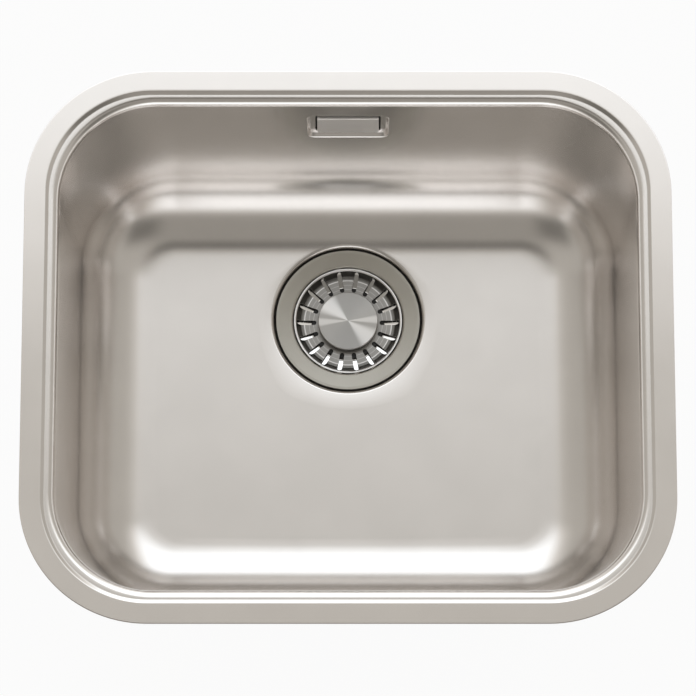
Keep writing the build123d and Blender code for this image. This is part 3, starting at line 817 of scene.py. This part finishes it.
    def build_underside(self, edge: np.ndarray, opening: np.ndarray, drain: np.ndarray) -> None:
        """Copies the skin a sheet lower and closes the edges.

        Args:
            edge: point numbers of the flange's top edge.
            opening: point numbers of the overflow opening's edge.
            drain: point numbers of the drain hole's edge.
        """
        draft = self.draft
        count = draft.count
        faces = list(draft.faces)
        normals = draft.normals()
        normals[edge] = (0, 0, 1)
        under = draft.row(draft.points() - self.sheet * normals, np.concatenate(draft.lengths), True)
        draft.faces += [tuple(number + count for number in reversed(face)) for face in faces]
        before = edge
        section = arc((0, -self.edge_round), self.edge_round, 90, 180, 4)[1:]
        section += arc((0, self.edge_round - self.sheet), self.edge_round, 180, 270, 4)[:-1]
        for shift, height in section:
            inset = self.edge_round + shift
            side, end = (self.half_length - inset, height), (self.half_width - inset, height)
            row = draft.row(self.outline(side, end, self.corner - inset))
            draft.bridge(row, before)
            before = row
        draft.bridge(under[edge], before)
        for loop in (opening, drain):
            draft.bridge(loop, under[loop])

    def build(self, material: bpy.types.Material) -> None:
        """Builds the bowl in a finish. It stands for the CAD bowl."""
        self.build_skin()
        made = self.draft.to_object("bowl_sheet", material)
        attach(made, "sink")
        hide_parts("sink_bowl")


@dataclass
class OverflowHose:
    """The ribbed hose from the overflow's head down to the waste body, with its ends as Y and Z."""

    top: Pair = (193.8931, -86.0)
    foot: Pair = (129.9985, -200.0)
    bend: float = 44.0
    cuff: float = 20.0
    crest: float = 10.0
    root: float = 9.1
    bore: float = 8.0
    pitch: float = 4.0
    rib_stations: tuple[float, ...] = (0.0, 0.06, 0.13, 0.2, 0.35, 0.5, 0.57, 0.64, 0.7, 0.85)
    rib_lead: float = 0.6
    rib_edge: float = 0.2
    root_start: float = 0.5
    end_round: tuple[Pair, ...] = ((0.0, 0.5), (0.15, 0.15), (0.5, 0.0))
    bore_cells: int = 79
    around: int = 48

    def length(self) -> float:
        """The length of its line."""
        drop, reach = self.top[1] - self.foot[1], self.top[0] - self.foot[0]
        return drop + reach + (pi / 2 - 2) * self.bend

    def circle(self, distance: float, radius: float) -> np.ndarray:
        """Points on a circle round the line, at a distance along it from its top."""
        straight = self.top[1] - self.foot[1] - self.bend
        turned = pi / 2 * self.bend
        if distance <= straight:
            place, turn = (self.top[0], self.top[1] - distance), 0.0
        elif distance <= straight + turned:
            turn = (distance - straight) / self.bend
            place = (
                self.top[0] - self.bend * (1 - cos(turn)),
                self.foot[1] + self.bend * (1 - sin(turn)),
            )
        else:
            turn = pi / 2
            place = (self.top[0] - self.bend - (distance - straight - turned), self.foot[1])
        angle = np.linspace(0, 2 * pi, self.around, endpoint=False)
        side = np.array([0, cos(turn), -sin(turn)])
        spokes = np.cos(angle)[:, None] * np.array([1.0, 0, 0]) + np.sin(angle)[:, None] * side
        return np.array([0, *place]) + radius * spokes

    def profile(self) -> list[Pair]:
        """Distances along the hose from its top, and the outside's radius at each."""
        ribs = int((self.length() - 2 * self.cuff) / self.pitch)
        start = (self.length() - ribs * self.pitch) / 2
        stations = [(reach, self.crest - drop) for reach, drop in self.end_round]
        stations.append((start - self.rib_lead, self.crest))
        for rib in range(ribs):
            for share in self.rib_stations:
                rise = max(self.rib_edge - share, share - self.root_start, 0.0) / self.rib_edge
                rise = min(rise, 1.0)
                swell = rise * rise * (3 - 2 * rise)
                radius = self.root + (self.crest - self.root) * swell
                stations.append((start + (rib + share) * self.pitch, radius))
        stations.append((self.length() - start, self.crest))
        stations += [(self.length() - reach, self.crest - drop) for reach, drop in reversed(self.end_round)]
        return stations

    def build(self, material: bpy.types.Material) -> None:
        """Builds the hose in a finish. It stands for the CAD hose."""
        draft = MeshDraft()
        outside = [draft.row(self.circle(distance, radius)) for distance, radius in self.profile()]
        places = np.linspace(0, self.length(), self.bore_cells + 1)
        inside = [draft.row(self.circle(distance, self.bore)) for distance in places]
        draft.loft([*reversed(outside), *inside, outside[-1]])
        made = draft.to_object("ribbed_hose", material, 50.0)
        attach(made, "sink")
        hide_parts("overflow_hose")


@dataclass
class DampingPad:
    """The sound-deadening pad under the floor, with a pressed border."""

    half_length: float = 110.0
    half_width: float = 44.92
    middle: float = -64.126
    top: float = -173.0
    thickness: float = 2.5
    corner: float = 10.0
    edge_round: float = 0.7
    border: float = 6.0
    groove: float = 0.8
    groove_section: tuple[Pair, ...] = ((0.0, 0.0), (0.6, 0.5), (1.0, 1.0), (2.4, 1.0), (2.8, 0.5), (3.4, 0.0))
    around: int = 48

    def loop(self, inset: float, height: float) -> np.ndarray:
        """A rounded rectangle round the pad, inset from its edge, at a height."""
        radius = max(self.corner - inset, 1.0)
        across, along = self.half_length - inset - radius, self.half_width - inset - radius
        turns = np.linspace(0, 2 * pi, self.around, endpoint=False) + pi / (2 * self.around)
        x = np.sign(np.cos(turns)) * across + radius * np.cos(turns)
        y = self.middle + np.sign(np.sin(turns)) * along + radius * np.sin(turns)
        return np.stack([x, y, np.full(self.around, height)], 1)

    def build(self, material: bpy.types.Material) -> None:
        """Builds the pad in a finish. It stands for the CAD pad."""
        draft = MeshDraft()
        base = self.top - self.thickness
        bend = self.edge_round
        section = [(bend, self.top), (0.0, self.top - bend)]
        section += arc((bend, base + bend), bend, 180, 270, 4)
        section += [(self.border + inset, base + share * self.groove) for inset, share in self.groove_section]
        rows = [draft.row(self.loop(inset, height)) for inset, height in section]
        draft.loft(rows[::-1])
        draft.cap(rows[0])
        draft.cap(rows[-1][::-1])
        made = draft.to_object("rubber_pad", material, 35.0)
        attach(made, "sink")
        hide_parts("floor_damping_pad")


@dataclass
class CarriedPieces:
    """The CAD nodes that keep their shape and take a better finish, by slot or by a node's own choice."""

    materials: dict[str, bpy.types.Material]
    own: dict[str, str]

    def build(self, skip: set[str]) -> int:
        """Gives each node its finish, but for those to skip, and returns how many were dressed."""
        entries = frame["record"]["materials"]
        slots = {node: entry["slot"] for entry in entries for node in entry.get("nodes", [])}
        dressed = 0
        for name, piece in frame["nodes"].items():
            if name in skip:
                continue
            slot = self.own.get(name) or slots.get(name) or piece.data.materials[0].name
            material = self.materials.get(slot, self.materials["fastener_steel"])
            for number in range(len(piece.data.materials)):
                piece.data.materials[number] = material
            LOG.info("%s takes %s", name, material.name)
            dressed += 1
        return dressed


# ---- studio


@dataclass(frozen=True)
class SoftPatch:
    """A soft patch of the room's light, in degrees from the zenith.

    Lean goes to the rear and sway to the right. Each edge fades between its two angles, and the side's two
    are counted from the middle's sway.
    """

    strength: float
    front: Pair
    rear: Pair
    side: Pair
    middle: float = 0.0

    def level(self, lean: Signal, sway: Signal) -> Signal:
        """How much light it adds in a direction, by the direction's lean and sway in degrees."""
        inside = lean.ease(*self.front) * (1 - lean.ease(*self.rear))
        return inside * (1 - (sway - self.middle).size().ease(*self.side)) * self.strength


@dataclass
class Studio:
    """Floor, soft light and camera."""

    floor_level: float = -262.0
    floor_reach: float = 20000.0
    camera_tilt: float = 14.5
    camera_distance: float = 3200.0
    camera_aim: float = -3.8
    lens: float = 226.2
    sensor: float = 36.0
    sight: float = 100.0
    floor_colour: Triple = (0.9, 0.9, 0.9)
    paper_colour: Triple = (1.0, 1.0, 1.0)
    paper_share: float = 0.94
    room_level: float = 0.46
    least_level: float = 0.02
    horizon: Pair = (0.12, 0.22)
    horizon_level: float = 1.0
    dim_tone: Triple = (1.0, 0.945, 0.85)
    middle_tone: Triple = (1.0, 0.96, 0.905)
    bright_tone: Triple = (0.97, 1.0, 1.02)
    patches: tuple[SoftPatch, ...] = (
        SoftPatch(0.62, (14.5, 17.2), (70.0, 88.0), (14.0, 34.0), 2.0),
        SoftPatch(0.3, (22.0, 32.0), (70.0, 88.0), (0.0, 30.0)),
        SoftPatch(0.2, (15.0, 25.0), (70.0, 88.0), (24.0, 48.0)),
        SoftPatch(0.12, (8.0, 10.0), (12.0, 14.0), (20.0, 40.0)),
        SoftPatch(-0.36, (-14.0, -2.0), (3.5, 8.5), (4.0, 26.0)),
        SoftPatch(-0.14, (-58.0, -48.0), (-16.0, -4.0), (12.0, 30.0)),
        SoftPatch(-0.29, (-60.0, -42.0), (-26.0, -8.0), (8.0, 28.0), -37.0),
        SoftPatch(-0.29, (-60.0, -42.0), (-26.0, -8.0), (8.0, 28.0), 37.0),
        SoftPatch(0.7, (-100.0, -95.0), (-74.0, -54.0), (34.0, 52.0)),
        SoftPatch(0.6, (-100.0, -95.0), (-74.0, -54.0), (0.0, 26.0)),
    )

    def build_floor(self) -> None:
        """Lays the pale floor, which is clear from below and keeps a faint shadow from above."""
        draft = MeshDraft()
        corners = np.array([[-1, -1], [1, -1], [1, 1], [-1, 1]]) * self.floor_reach
        draft.cap(draft.row(np.concatenate([corners, np.full((4, 1), self.floor_level)], 1)))
        material, graph = blank_material("studio_floor")
        made = draft.to_object("studio_floor", material)
        diffuse = graph.node("ShaderNodeBsdfDiffuse", {}, {"Color": self.floor_colour})
        paper = graph.node("ShaderNodeEmission", {}, {"Color": self.paper_colour, "Strength": 1.0})
        seen = graph.node("ShaderNodeLightPath", {}, {}, "Is Camera Ray")
        direct = seen + seen.also("Is Glossy Ray") + seen.also("Is Transmission Ray")
        share = direct.at_most(1.0) * self.paper_share
        top = graph.node("ShaderNodeMixShader", {}, {0: share, 1: diffuse, 2: paper})
        clear = graph.node("ShaderNodeBsdfTransparent", {}, {})
        below = graph.node("ShaderNodeNewGeometry", {}, {}, "Backfacing")
        shader = graph.node("ShaderNodeMixShader", {}, {0: below, 1: top, 2: clear})
        graph.node("ShaderNodeOutputMaterial", {}, {"Surface": shader})

    def build_light(self) -> None:
        """Lights the scene with a soft room, the sum of a plain level and the patches."""
        world = bpy.data.worlds.new("soft_room")
        bpy.context.scene.world = world
        world.use_nodes = True
        graph = Graph(world.node_tree)
        across, back, up = graph.parts(graph.node("ShaderNodeTexCoord", {}, {}, "Generated"))
        from_zenith = graph.math("ARCCOSINE", up)
        spread = from_zenith * (180 / pi) / graph.math("SINE", from_zenith.at_least(0.001))
        lean, sway = back * spread, across * spread
        level: Signal | float = self.room_level
        for patch in self.patches:
            level = level + patch.level(lean, sway)
        low = 1 - up.ease(*self.horizon)
        level = level.at_least(self.least_level) * (1 - low) + self.horizon_level * low
        dim = graph.mixed(level.ease(0.2, 0.85), self.dim_tone, self.middle_tone)
        tone = graph.mixed(level.ease(0.8, 1.3), dim, self.bright_tone)
        background = graph.node("ShaderNodeBackground", {}, {"Color": tone, "Strength": level})
        graph.node("ShaderNodeOutputWorld", {}, {"Surface": background})

    def build_camera(self) -> None:
        """Sets the camera over the front, looking at the flange near its middle."""
        data = bpy.data.cameras.new("camera")
        data.lens = self.lens
        data.sensor_width = self.sensor
        data.clip_end = self.sight
        camera = bpy.data.objects.new("camera", data)
        tilt = radians(self.camera_tilt)
        place = Vector((0, -sin(tilt), cos(tilt))) * self.camera_distance + Vector((0, self.camera_aim, 0))
        camera.matrix_world = Matrix.Translation(place * MILLIMETRE) @ Matrix.Rotation(tilt, 4, "X")
        bpy.context.scene.collection.objects.link(camera)
        bpy.context.scene.camera = camera

    def build(self) -> None:
        """Builds floor, light and camera."""
        self.build_floor()
        self.build_light()
        self.build_camera()
        bpy.context.scene.view_settings.view_transform = "Standard"


def finishes(drain: float) -> list[Metal | Moulded]:
    """The finishes, each named after a slot or a piece. The drain is its axis's Y in millimetres."""
    axis = (0.0, drain * MILLIMETRE)
    return [
        PressedSheet("bowl_steel", (0.88, 0.852, 0.83), 0.24, Grain.ALONG_RIM, 0.000002, 0.03, 0.03),
        TurnedMetal(
            "strainer_steel",
            (0.66, 0.64, 0.585),
            0.5,
            Grain.ROUND_DRAIN,
            grain_spread=0.08,
            axis=axis,
            # painted light: the near-white inside of the cup stands for the light seen through the basket's
            # slots; its low roughness is a real polish
            inside=(0.98, 0.975, 0.965),
            inside_roughness=0.1,
            inside_radius=0.0424,
        ),
        TurnedMetal(
            "basket_steel",
            # painted shade: the dark colour of the basket's wall stands for the shade down in the basket
            (0.24, 0.235, 0.225),
            0.3,
            Grain.ROUND_DRAIN,
            grain_depth=0.00004,
            grain_spread=0.12,
            stain=0.08,
            anisotropic=0.5,
            # painted shade: the floor's colour within this radius, less dark than the wall, stands for shade
            # too
            axis=axis,
            inside=(0.42, 0.41, 0.395),
            inside_roughness=0.36,
            inside_radius=0.0345,
            # painted highlights: light circles on the basket's rim and floor
            highlight_rings=(
                PaintedHighlight(0.0409, 0.0012, 1.0),
                PaintedHighlight(0.0338, 0.0006, 0.8),
                PaintedHighlight(0.0302, 0.0003, 0.35),
                PaintedHighlight(0.0268, 0.0003, 0.35),
            ),
        ),
        TurnedMetal(
            "knob_steel",
            (0.52, 0.51, 0.495),
            0.3,
            Grain.ROUND_DRAIN,
            grain_depth=0.00003,
            grain_spread=0.1,
            stain=0.04,
            anisotropic=0.8,
            axis=axis,
            # painted highlights: two pairs of light wedges standing for the turned face's reflections
            highlight_fans=(PaintedHighlight(140.0, 28.0, 1.0), PaintedHighlight(3.0, 11.0, 0.7)),
        ),
        Metal("plate_steel", (0.95, 0.93, 0.91), 0.5, Grain.SIDEWAYS, 0.000006, 0.05, 0.03),
        Metal("fastener_steel", (0.6, 0.59, 0.57), 0.3, Grain.BLASTED, 0.000006, 0.08, 0.1),
        Metal("brass", (0.78, 0.56, 0.24), 0.28, Grain.BLASTED, 0.000006, 0.08, 0.12),
        Moulded("black_rubber", (0.022, 0.022, 0.023), 0.55, bloom=0.1),
        Moulded("grey_plastic", (0.3, 0.305, 0.31), 0.42, 0.0008, 0.000025, 0.12),
        Moulded("dark_plastic", (0.045, 0.047, 0.05), 0.4, 0.0008, 0.000025, 0.1),
        Moulded("pad_rubber", (0.05, 0.05, 0.052), 0.7, 0.0015, 0.00012, 0.25),
    ]


def main() -> None:
    """Builds the sub-assemblies in order and reports each."""
    logging.basicConfig(level=logging.INFO, format="%(message)s")
    bowl = Bowl()
    materials = {finish.name: finish.material() for finish in finishes(bowl.drain_place())}
    bowl.build(materials["bowl_steel"])
    OverflowHose().build(materials["grey_plastic"])
    DampingPad().build(materials["pad_rubber"])
    carried = CarriedPieces(materials, {"basket": "basket_steel"})
    dressed = carried.build({"sink_bowl", "overflow_hose", "floor_damping_pad"})
    LOG.info("%d CAD pieces dressed", dressed)
    Studio().build()
    LOG.info("studio set")


if __name__ == "__main__":
    main()
